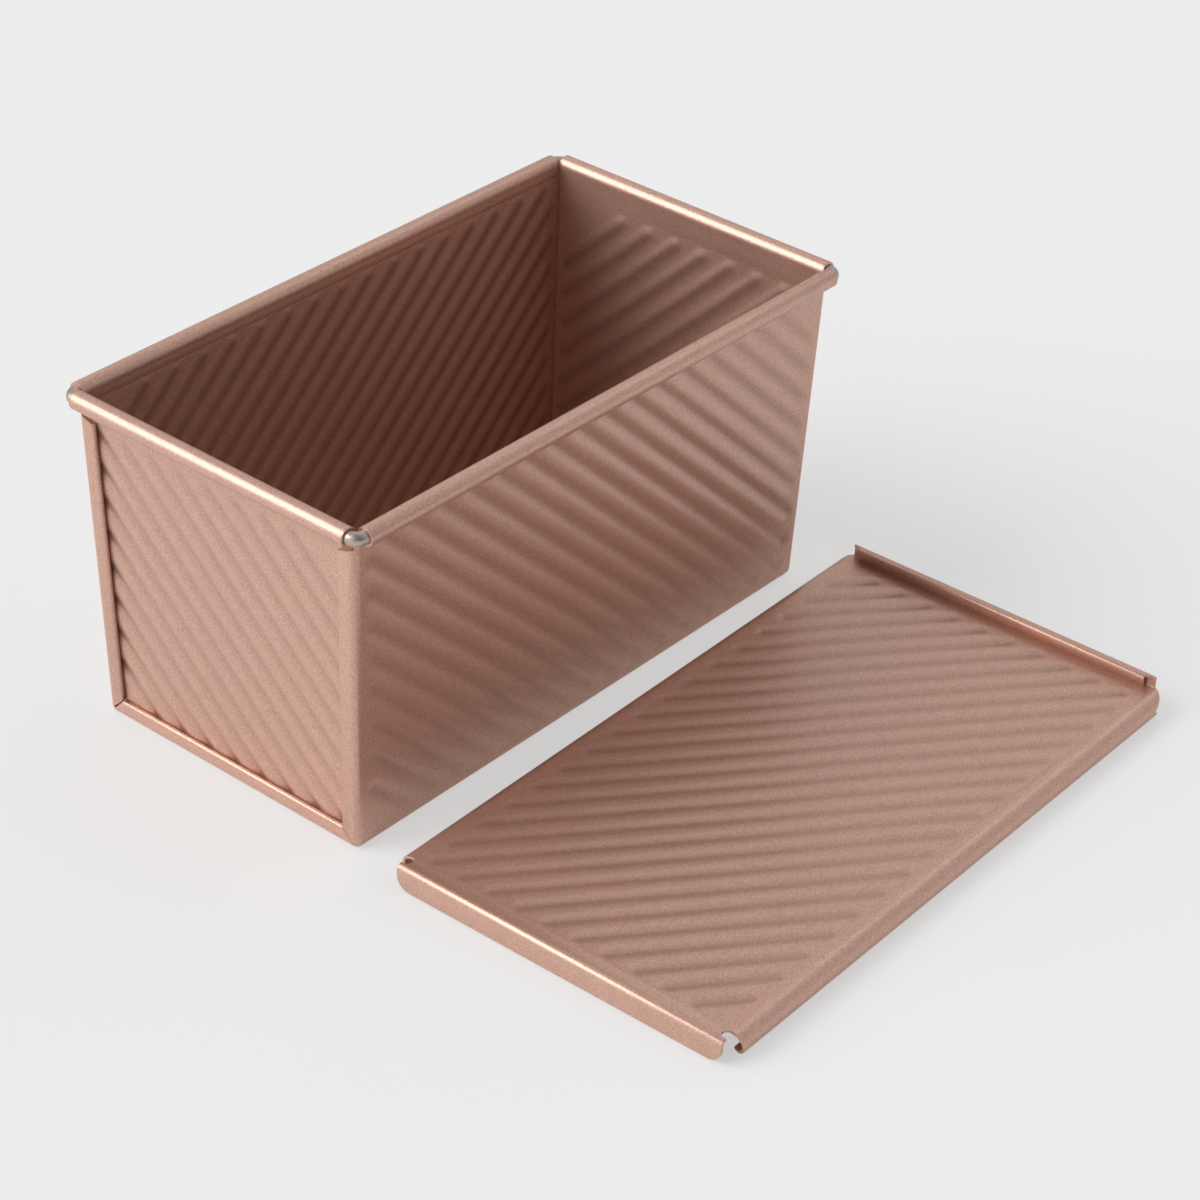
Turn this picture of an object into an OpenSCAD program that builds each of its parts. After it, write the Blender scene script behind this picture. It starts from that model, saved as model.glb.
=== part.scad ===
// Corrugated pullman loaf pan with its sliding lid taken off and lying beside it.
// Millimetres. The origin is on the table under the middle of the pan, X runs along the pan, Z is up.

/* [Pan] */
// Length of the pan over the beads of its ends
pan_l = 217; // [160:1:360]
// Width of the pan over the beads of its long sides
pan_w = 118.5; // [90:0.5:180]
// Height of the pan from the table to the top of its beads
pan_h = 111.5; // [70:0.5:150]
// How far each long wall leans in between rim and floor
side_lean = 2.8; // [0:0.1:6]
// How far each end leans in between rim and floor
end_lean = 4.1; // [0:0.1:8]
// Thickness of the pan's sheet steel
sheet_t = 0.8; // [0.5:0.05:1]
// Outside radius of the folds between floor, long walls and end flanges
fold_r = 2.5; // [2.2:0.1:4]

/* [Rim] */
// Diameter of the steel wire inside the rolled beads
wire_d = 4.2; // [3:0.1:6]
// Play between the wire and the inside of a bead
wire_play = 0.05; // [0.03:0.01:0.2]
// Half angle of the slit where a rolled bead ends short of its own wall
bead_slit = 22; // [10:1:35]

/* [End flanges] */
// Width of the hemmed flange on each end face
flange_w = 6.2; // [5:0.1:9]
// Drop from the rim to the flange's cut top at its inner edge
flange_drop = 9.6; // [8.5:0.1:14]
// Rise of the flange's cut top from its inner edge to the corner
flange_rise = 2; // [0:0.1:2.4]
// Width of the slit between side and bottom flange at each lower corner
mitre_gap = 0.5; // [0.2:0.05:1]
// Play between sheets that are folded together
seam_play = 0.05; // [0.03:0.01:0.15]

/* [Ribs] */
// Distance from one rib to the next, square to the ribs
rib_pitch = 7.8; // [6:0.1:12]
// Width of a rib's pressed groove at the surface
rib_w = 3.2; // [2:0.1:4]
// Depth of the grooves pressed into the pan
rib_depth = 0.6; // [0.3:0.05:0.9]
// Slope of the ribs on the long walls and the floor, in degrees
wall_rib_angle = 42.5; // [30:0.5:60]
// Slope of the ribs on the end panels, in degrees
end_rib_angle = 45; // [30:0.5:60]
// Flat margin between the ribs and the folds round the panel they are pressed into
rib_margin = 1.8; // [1:0.1:6]

/* [Lid] */
// Thickness of the lid's sheet steel
lid_t = 0.85; // [0.6:0.05:1]
// Slope of the lid's ribs across its length, in degrees
lid_rib_angle = 40.5; // [30:0.5:60]
// Depth of the grooves pressed into the lid
lid_rib_depth = 0.45; // [0.2:0.05:0.6]
// Play between the lid's curls and the sides of the pan's long beads
lid_side_play = 0.3; // [0.2:0.05:1]
// Play between the lid's pressed grooves and the top of the rim
lid_top_play = 0.25; // [0.15:0.05:1]
// Play between the lid's curls and the underside of the long beads
lid_under_play = 0.2; // [0.1:0.05:1]
// Extra length of the lid over the pan
lid_extra_l = 2; // [1.8:0.1:12]
// How far each curl turns in under the bead, in degrees past its outermost line
curl_wrap = 100; // [80:1:125]
// Distance from the side of the lid to the end of its stop flange
stop_inset = 4.7; // [4:0.1:10]
// Gap between the stop flange and the table when the lid lies on its curls
stop_lift = 0.6; // [0.3:0.1:3]
// Corner radius of the stop flange
stop_r = 4.5; // [2:0.1:6]
// Bend radius over the stop flange
stop_bend_r = 1.7; // [1.2:0.1:3]
// Length of the corner notch between stop flange and curl
notch_l = 3.5; // [2:0.1:8]
// Corner radius of the lid's other end
lid_corner_r = 6; // [3:0.1:12]
// Height of the grip hem over the lid
hem_h = 4.3; // [3:0.1:10]
// Width of the grip hem's top
hem_w = 3.4; // [2.6:0.1:8]
// Distance from the lid's end to the foot of the hem's folded-down front
hem_foot = 2; // [1.8:0.1:6]
// Distance from the side of the lid to the end of the hem
hem_inset = 4; // [3:0.1:20]
// How far the hem's folded part is cut back at its ends
hem_cut = 3; // [0:0.1:8]

/* [Lid on the table] */
// How far the middle of the lid lies along the pan from the middle of the pan
lid_x = 4.8; // [-60:0.1:60]
// Clear distance between the pan's long bead and the side of the lid, seen from above
lid_gap = 6.4; // [1:0.1:80]
// Turn of the lid on the table, in degrees
lid_turn = 1.25; // [-3:0.05:3]

/* [Hidden] */
$fn = 48;

gold = [0.62, 0.45, 0.36];
dark_gold = [0.55, 0.39, 0.31];
steel = [0.66, 0.65, 0.63];

// The bead is the wire with one sheet rolled round it.
bead_d = wire_d + 2 * (wire_play + sheet_t);
bead_r = bead_d / 2;
bore_r = bead_r - sheet_t;
rim_z = pan_h - bead_r;
in_x = pan_l / 2 - bead_d;
in_y = pan_w / 2 - bead_d;
side_tan = side_lean / pan_h;
end_tan = end_lean / pan_h;
side_cos = cos(atan(side_tan));
side_sin = sin(atan(side_tan));
end_cos = cos(atan(end_tan));

// An end is a stack: panel, play, hem folded on itself. Depths count outward from the panel's inner face.
hem_in = sheet_t + seam_play;
hem_out = hem_in + 2 * sheet_t;
corner_play = 0.3;
wall_top = rim_z - corner_play;
corner_top = pan_h - bead_d - corner_play;
far = 2 * pan_l;

// A pressed rib is a groove with a flat bottom and sloping sides, and a bump of the same form behind it.
rib_flank = 1.2;
rib_reach = 0.3;

// Half width of the trough at height z, off millimetres outside the inner face of a long wall.
function wall_y(z, off) = in_y + off / side_cos - (rim_z - z) * side_tan;
// Half length of the pan at height z, off millimetres outside the inner face of an end panel.
function end_x(z, off) = in_x + off / end_cos - (rim_z - z) * end_tan;
// Half distance between the centres of the two long folds.
fold_y = wall_y(fold_r, sheet_t) - fold_r / side_cos;
// Middle of the fold between the floor and an end flange, and a radius that cuts the flat faces beside it.
foot_x = end_x(fold_r, hem_out - fold_r);
edge_r = fold_r + 0.06;
hem_r = sheet_t - 0.02;

module round_bar(p, q, r) {
    d = q - p;
    len = norm(d);
    translate(p)
        rotate([0, acos(d[2] / len), atan2(d[1], d[0])])
            cylinder(h = len, r = r);
}

// Half width of a rib's hollow, less millimetres below the sheet's outer face.
function rib_half(low) = rib_w / 2 - low * rib_flank;

// Bars side by side, of one section, cut off at the edge of a window drawn in the panel's own plane.
module rib_bars(a, span, top, low, grow) {
    count = ceil(span / rib_pitch);
    intersection() {
        rotate([0, 0, 90 - a])
            rotate([90, 0, 0])
                linear_extrude(4 * span, center = true)
                    for (n = [-count:count])
                        translate([(n + 0.5) * rib_pitch, 0])
                            polygon([[-rib_half(-top) - grow, top], [-rib_half(low) - grow, -low],
                                [rib_half(low) + grow, -low], [rib_half(-top) + grow, top]]);
        translate([0, 0, -pan_h])
            linear_extrude(2 * pan_h)
                children();
    }
}

// Bumps on the inner side of a sheet whose outer face is the plane z = 0.
module rib_bumps(a, span, depth, t) {
    rib_bars(a, span, -t / 2, t + depth, t * (rib_flank + (sqrt(1 + rib_flank * rib_flank) - rib_flank)))
        children();
}

// Grooves in the outer side of a sheet whose outer face is the plane z = 0.
module rib_grooves(a, span, depth) {
    rib_bars(a, span, rib_reach, depth, 0)
        children();
}

// Places a drawing with u, v and outward axes on the outer face of the long wall at +Y or -Y.
module on_wall(side) {
    rotate([0, 0, side > 0 ? 180 : 0])
        translate([0, -wall_y(0, sheet_t), 0])
            rotate([90 + atan(side_tan), 0, 0])
                children();
}

// Places a drawing with u, v and outward axes on the outer face of the end panel at +X or -X.
module on_end(side) {
    rotate([0, 0, side > 0 ? 90 : -90])
        translate([0, -end_x(0, sheet_t), 0])
            rotate([90 + atan(end_tan), 0, 0])
                children();
}

// Places a drawing with u, v and outward axes on the underside of the floor.
module on_floor() {
    rotate([180, 0, 0])
        children();
}

wall_span = pan_l / 2 + pan_h;
end_span = pan_w / 2 + pan_h;
rib_top = corner_top - rib_margin / 2;

// Windows that the ribs of a panel fill, drawn in the panel's plane and drawn in by inset on every side.
module wall_window(inset) {
    low = fold_r + rib_margin + inset;
    high = rib_top - inset;
    half = -fold_r - rib_margin - inset;
    polygon([[-end_x(low, hem_out) - half, low], [end_x(low, hem_out) + half, low],
        [end_x(high, hem_out) + half, high], [-end_x(high, hem_out) - half, high]]);
}

module floor_window(inset) {
    margin = fold_r + rib_margin + inset;
    square([2 * (end_x(0, hem_out) - margin), 2 * (fold_y + fold_r - margin)], center = true);
}

module end_window(inset) {
    low = flange_w + inset;
    high = rib_top - inset;
    polygon([[inset - wall_y(low, sheet_t - flange_w), low], [wall_y(low, sheet_t - flange_w) - inset, low],
        [wall_y(high, sheet_t - flange_w) - inset, high], [inset - wall_y(high, sheet_t - flange_w), high]]);
}

// Cross section of everything inside the face that lies off millimetres outside the trough's inner face.
module tub_section(off, top) {
    r = fold_r - sheet_t + off;
    side = [[wall_y(top, off), top], [fold_y + r * side_cos, fold_r - r * side_sin], [fold_y, fold_r - r]];
    polygon(concat(side, [for (n = [len(side) - 1:-1:0]) [-side[n][0], side[n][1]]]));
    for (y = [-fold_y, fold_y])
        translate([y, fold_r])
            circle(r);
}

module along_x(length) {
    rotate([90, 0, 90])
        linear_extrude(length, center = true)
            children();
}

module along_y(length) {
    rotate([90, 0, 0])
        linear_extrude(length, center = true)
            children();
}

// Everything between the two end faces that lie off millimetres outside the panels' inner faces.
module between_ends(off) {
    along_y(far)
        polygon([[-end_x(-far, off), -far], [end_x(-far, off), -far],
            [end_x(far, off), far], [-end_x(far, off), far]]);
}

// A slab of each end face, from depth a to depth b.
module end_slab(a, b) {
    difference() {
        between_ends(b);
        between_ends(a);
    }
}

// A rolled bead with its slit, drawn with its own wall on the side of negative x.
module bead_section() {
    difference() {
        circle(bead_r);
        circle(bore_r);
        polygon([[0, 0],
            [-bead_d * cos(bead_slit / 2), -bead_d * sin(bead_slit / 2)],
            [-bead_d, -bead_d],
            [-bead_d * cos(bead_slit * 2.5), -bead_d * sin(bead_slit * 2.5)]]);
    }
}

// What is cut off along the edges of each end face to round them.
module end_rounding() {
    for (i = [0, 1])
        mirror([i, 0, 0]) {
            difference() {
                intersection() {
                    end_slab(hem_out - fold_r, hem_out + fold_r);
                    translate([0, -far, -pan_h])
                        cube([far, 2 * far, pan_h + fold_r]);
                }
                round_bar([foot_x, -far, fold_r], [foot_x, far, fold_r], edge_r);
            }
            for (j = [0, 1])
                mirror([0, j, 0])
                    difference() {
                        intersection() {
                            end_slab(hem_out - fold_r, hem_out + fold_r);
                            translate([far / 2, 0, 0])
                                along_x(far)
                                    polygon([[wall_y(-pan_h, sheet_t - fold_r), -pan_h], [far, -pan_h],
                                        [far, 2 * pan_h], [wall_y(2 * pan_h, sheet_t - fold_r), 2 * pan_h]]);
                        }
                        round_bar([end_x(-pan_h, hem_out - fold_r), wall_y(-pan_h, sheet_t - fold_r), -pan_h],
                            [end_x(2 * pan_h, hem_out - fold_r), wall_y(2 * pan_h, sheet_t - fold_r), 2 * pan_h],
                            edge_r);
                    }
        }
}

// Window that the hemmed flange leaves open in each end face.
module flange_window(inset) {
    polygon([[-wall_y(0, sheet_t - inset), inset], [wall_y(0, sheet_t - inset), inset],
        [wall_y(2 * pan_h, sheet_t - inset), 2 * pan_h], [-wall_y(2 * pan_h, sheet_t - inset), 2 * pan_h]]);
}

// Rounded inner edge of the flange, where its sheet is folded back on itself.
module hem_edges() {
    inset = flange_w - sheet_t;
    depth = hem_in + sheet_t;
    top = pan_h - flange_drop;
    for (i = [0, 1])
        mirror([i, 0, 0])
            difference() {
                union() {
                    round_bar([end_x(inset, depth), -wall_y(inset, sheet_t - inset), inset],
                        [end_x(inset, depth), wall_y(inset, sheet_t - inset), inset], hem_r);
                    for (j = [0, 1])
                        mirror([0, j, 0])
                            difference() {
                                round_bar([end_x(inset, depth), wall_y(inset, sheet_t - inset), inset],
                                    [end_x(top, depth), wall_y(top, sheet_t - inset), top], hem_r);
                                mitre_slit();
                            }
                }
                for (j = [0, 1])
                    mirror([0, j, 0])
                        mitre_slit();
            }
}

// Slit along the mitre between side and bottom flange.
module mitre_slit() {
    half_slit = mitre_gap / sqrt(2);
    along_x(far)
        polygon([[wall_y(0, -flange_w) - half_slit, flange_w + sheet_t],
            [wall_y(0, sheet_t + fold_r) - half_slit, -fold_r],
            [wall_y(0, sheet_t + fold_r) + half_slit, -fold_r],
            [wall_y(0, -flange_w) + half_slit, flange_w + sheet_t]]);
}

// What is cut away above the flange's sloping top.
module flange_top() {
    inner = wall_y(corner_top, sheet_t - flange_w - sheet_t);
    outer = wall_y(corner_top, sheet_t);
    low = pan_h - flange_drop;
    along_x(far)
        polygon([[inner, low], [outer, low + flange_rise], [far, low + flange_rise], [far, far], [inner, far]]);
}

// The sheet of floor and long walls with its end flanges, before ribs and beads.
module trough_sheet() {
    difference() {
        intersection() {
            along_x(far)
                tub_section(sheet_t, wall_top);
            between_ends(hem_out);
        }
        end_rounding();
        difference() {
            intersection() {
                along_x(far)
                    tub_section(0, far);
                between_ends(hem_out - sheet_t);
            }
            intersection() {
                along_x(far)
                    tub_section(-sheet_t - 2 * seam_play, far / 2);
                end_slab(hem_in, hem_out + sheet_t);
            }
        }
        along_x(far)
            flange_window(flange_w - sheet_t);
        intersection() {
            end_slab(hem_in - seam_play / 2, hem_out + fold_r);
            for (m = [0, 1])
                mirror([0, m, 0]) {
                    mitre_slit();
                    flange_top();
                }
        }
        for (m = [0, 1])
            mirror([m, 0, 0])
                translate([in_x - corner_play, -pan_w, corner_top])
                    cube([pan_w, 2 * pan_w, pan_h]);
    }
}

module trough() {
    color(gold)
        difference() {
            union() {
                trough_sheet();
                hem_edges();
                along_x(2 * in_x)
                    for (m = [0, 1])
                        mirror([m, 0])
                            translate([in_y + bead_r, rim_z])
                                bead_section();
                for (side = [-1, 1])
                    on_wall(side)
                        rib_bumps(wall_rib_angle, wall_span, rib_depth, sheet_t)
                            wall_window(0);
                on_floor()
                    rib_bumps(wall_rib_angle, wall_span, rib_depth, sheet_t)
                        floor_window(0);
            }
            for (side = [-1, 1])
                on_wall(side)
                    rib_grooves(wall_rib_angle, wall_span, rib_depth)
                        wall_window(sheet_t);
            on_floor()
                rib_grooves(wall_rib_angle, wall_span, rib_depth)
                    floor_window(sheet_t);
        }
}

// The end panel at +X or -X: a tray whose edges are turned outward into the flange's hem.
module end_panel(side) {
    color(dark_gold)
        difference() {
            union() {
                intersection() {
                    union() {
                        intersection() {
                            along_x(far)
                                tub_section(-seam_play, wall_top);
                            end_slab(0, sheet_t);
                        }
                        intersection() {
                            along_x(far)
                                difference() {
                                    tub_section(-seam_play, pan_h - flange_drop - corner_play);
                                    tub_section(-seam_play - sheet_t, far);
                                }
                            end_slab(0, hem_out - sheet_t - seam_play);
                        }
                        along_y(2 * (in_y - seam_play))
                            for (m = [0, 1])
                                mirror([m, 0])
                                    translate([in_x + bead_r, rim_z])
                                        bead_section();
                    }
                    translate([side > 0 ? 0 : -far, -far / 2, -far / 2])
                        cube(far);
                }
                on_end(side)
                    rib_bumps(end_rib_angle, end_span, rib_depth, sheet_t)
                        end_window(0);
            }
            on_end(side)
                rib_grooves(end_rib_angle, end_span, rib_depth)
                    end_window(sheet_t);
        }
}

module left_end_panel() {
    end_panel(-1);
}

module right_end_panel() {
    end_panel(1);
}

// One wire bent square round the rim, inside all four beads.
module rim_wire() {
    half_x = in_x + bead_r;
    half_y = in_y + bead_r;
    color(steel)
        translate([0, 0, rim_z]) {
            for (y = [-half_y, half_y])
                round_bar([-in_x, y, 0], [in_x, y, 0], wire_d / 2);
            for (x = [-half_x, half_x])
                round_bar([x, -in_y, 0], [x, in_y, 0], wire_d / 2);
            for (i = [0, 1], j = [0, 1])
                mirror([i, 0, 0]) mirror([0, j, 0])
                    translate([in_x, in_y, 0])
                        rotate_extrude(angle = 90)
                            translate([bead_r, 0])
                                circle(wire_d / 2);
        }
}

// The lid's curl clears the bead's top, side and underside.
curl_in_r = (bead_d + lid_top_play + lid_rib_depth + lid_under_play) / 2;
curl_r = curl_in_r + lid_t;
lid_h = 2 * curl_r;
lid_l = pan_l + lid_extra_l;
lid_w = pan_w + 2 * (lid_side_play + lid_t);
curl_y = lid_w / 2 - curl_r;
lid_y = -(pan_w / 2 + lid_gap + lid_w / 2);
lid_span = (lid_l + lid_w) / 2;

module lid_window(inset) {
    low = -lid_l / 2 + stop_bend_r + rib_margin + inset;
    high = lid_l / 2 - hem_w - lid_t - rib_margin - inset;
    half = curl_y - rib_margin - inset;
    translate([low, -half])
        square([high - low, 2 * half]);
}

module curl_section() {
    difference() {
        circle(curl_r);
        circle(curl_in_r);
        polygon([[0, 0], [0, 2 * curl_r], [-2 * curl_r, 2 * curl_r], [-2 * curl_r, -2 * curl_r],
            [2 * curl_r * cos(curl_wrap), -2 * curl_r * sin(curl_wrap)]]);
    }
}

// A strip of sheet lid_t thick, bent along the points of its middle line.
module bent_strip(points) {
    for (n = [0:len(points) - 2]) {
        d = points[n + 1] - points[n];
        translate(points[n])
            rotate(atan2(d[1], d[0]))
                translate([0, -lid_t / 2])
                    square([norm(d), lid_t]);
    }
    for (n = [1:len(points) - 2])
        translate(points[n])
            circle(lid_t / 2);
}

// Top of the lid with both curls, its notched stop end and its round-cornered hem end.
module lid_plate() {
    start = -lid_l / 2 + notch_l;
    finish = lid_l / 2;
    intersection() {
        translate([(start + finish) / 2, 0, 0])
            along_x(finish - start) {
                translate([-curl_y, lid_h - lid_t])
                    square([2 * curl_y, lid_t]);
                for (m = [0, 1])
                    mirror([m, 0])
                        translate([curl_y, curl_r])
                            curl_section();
            }
        linear_extrude(lid_h + 1)
            union() {
                translate([-lid_l / 2, -lid_w / 2])
                    square([lid_l - lid_corner_r, lid_w]);
                translate([0, -lid_w / 2 + lid_corner_r])
                    square([lid_l / 2, lid_w - 2 * lid_corner_r]);
                for (y = [-1, 1])
                    translate([lid_l / 2 - lid_corner_r, y * (lid_w / 2 - lid_corner_r)])
                        circle(lid_corner_r);
            }
    }
    translate([-lid_l / 2 + stop_bend_r, -lid_w / 2 + stop_inset, lid_h - lid_t])
        cube([notch_l, lid_w - 2 * stop_inset, lid_t]);
}

// Down-turned flange that stops against the bead of the pan's end.
module stop_flange() {
    half = lid_w / 2 - stop_inset;
    intersection() {
        along_y(2 * half)
            translate([-lid_l / 2, 0]) {
                translate([0, stop_lift])
                    square([lid_t, lid_h - stop_bend_r - stop_lift]);
                translate([stop_bend_r, lid_h - stop_bend_r])
                    difference() {
                        circle(stop_bend_r);
                        circle(stop_bend_r - lid_t);
                        translate([0, -2 * stop_bend_r])
                            square(4 * stop_bend_r);
                        translate([-2 * stop_bend_r, -4 * stop_bend_r])
                            square(4 * stop_bend_r);
                    }
            }
        along_x(far)
            union() {
                translate([-half, stop_lift + stop_r])
                    square([2 * half, lid_h]);
                translate([-half + stop_r, stop_lift])
                    square([2 * (half - stop_r), lid_h]);
                for (y = [-1, 1])
                    translate([y * (half - stop_r), stop_lift + stop_r])
                        circle(stop_r);
            }
    }
}

// Hollow hem along the other end: up, over and down to the lid again.
module grip_hem() {
    half = lid_w / 2 - hem_inset;
    end = lid_l / 2;
    top = lid_h + hem_h - lid_t / 2;
    cut_x = end - hem_w - lid_t;
    cut_y = hem_cut * (end - lid_t - cut_x) / (hem_w - lid_t);
    difference() {
        along_y(2 * half)
            bent_strip([[end - hem_w, lid_h - lid_t / 2], [end - lid_t / 2, lid_h - lid_t / 2],
                [end - lid_t / 2, top], [end - hem_w + lid_t / 2, top],
                [end - hem_foot, lid_h + lid_t / 2 + seam_play]]);
        for (m = [0, 1])
            mirror([0, m, 0])
                translate([0, 0, lid_h + seam_play / 2])
                    linear_extrude(2 * hem_h)
                        polygon([[end - lid_t, half + 1], [end - lid_t, half],
                            [cut_x, half - cut_y], [cut_x, half + 1]]);
    }
}

module sliding_lid() {
    color(gold)
        translate([lid_x, lid_y, 0])
            rotate([0, 0, lid_turn])
                difference() {
                    union() {
                        lid_plate();
                        stop_flange();
                        grip_hem();
                        translate([0, 0, lid_h])
                            rib_bumps(lid_rib_angle, lid_span, lid_rib_depth, lid_t)
                                lid_window(0);
                    }
                    translate([0, 0, lid_h])
                        rib_grooves(lid_rib_angle, lid_span, lid_rib_depth)
                            lid_window(lid_t);
                }
}

trough();
left_end_panel();
right_end_panel();
rim_wire();
sliding_lid();
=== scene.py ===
import math

import bmesh
import bpy
from mathutils import Matrix, Vector


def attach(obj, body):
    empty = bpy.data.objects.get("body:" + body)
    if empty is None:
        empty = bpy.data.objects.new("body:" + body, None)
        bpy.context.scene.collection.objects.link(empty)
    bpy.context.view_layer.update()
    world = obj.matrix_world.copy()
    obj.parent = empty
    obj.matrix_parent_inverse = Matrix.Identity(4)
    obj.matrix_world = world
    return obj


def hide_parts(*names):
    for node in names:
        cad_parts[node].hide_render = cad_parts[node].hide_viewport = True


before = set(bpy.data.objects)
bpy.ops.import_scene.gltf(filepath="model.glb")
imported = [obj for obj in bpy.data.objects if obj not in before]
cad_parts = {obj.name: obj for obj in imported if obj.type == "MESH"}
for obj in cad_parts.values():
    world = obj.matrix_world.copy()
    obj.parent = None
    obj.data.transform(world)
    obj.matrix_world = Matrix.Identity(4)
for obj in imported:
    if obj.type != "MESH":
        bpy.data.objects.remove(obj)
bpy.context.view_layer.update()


# Trough

# Floor, two long walls and their end flanges are one blank of 0.8 mm steel with a champagne non-stick coat.
# Slanting ribs are pressed in first. Then the walls fold up, their tops roll round a wire, and the end
# flanges fold round and are hemmed back on themselves.

MM = 0.001
pan_length, pan_width, pan_height = 217.0, 118.5, 111.5
sheet, drawn_sheet = 0.8, 0.78
bead_radius, bore_radius, bead_sweep = 2.95, 2.15, 305
rim_z = pan_height - bead_radius
inside_x = pan_length / 2 - 2 * bead_radius
inside_y = pan_width / 2 - 2 * bead_radius
side_spread, end_spread = 2.8, 4.1
side_lean = math.atan(side_spread / pan_height)
end_lean = math.atan(end_spread / pan_height)
fold_radius = 2.5
play = 0.05
hem_depth = sheet + play + 2 * sheet
flange_width, flange_slant, flange_drop = 6.2, 2.0, 9.6
flange_top = pan_height - flange_drop
corner_top = 105.3
rib_pitch, lines_per_rib = 7.8, 12


def wall_y(z, off):
    """Half width of the pan, off millimetres outside the inner face of a long wall."""
    return inside_y + off / math.cos(side_lean) - (rim_z - z) * math.tan(side_lean)


def end_x(z, off):
    """Half length of the pan, off millimetres outside the inner face of an end panel."""
    return inside_x + off / math.cos(end_lean) - (rim_z - z) * math.tan(end_lean)


def arc(x, z, radius, start, sweep, steps, first=0):
    """Points along an arc round x, z, from number first on. Its start and sweep are in degrees."""
    angles = [math.radians(start + sweep * n / steps) for n in range(first, steps + 1)]
    return [(x + radius * math.cos(a), z + radius * math.sin(a)) for a in angles]


def node_maths(tree):
    """Returns a function that adds one Math node and gives back its output."""
    def add(operation, *values):
        node = tree.nodes.new("ShaderNodeMath")
        node.operation = operation
        for socket, value in zip(node.inputs, values):
            if isinstance(value, (int, float)):
                socket.default_value = value
            else:
                tree.links.new(value, socket)
        return node.outputs[0]
    return add


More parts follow.
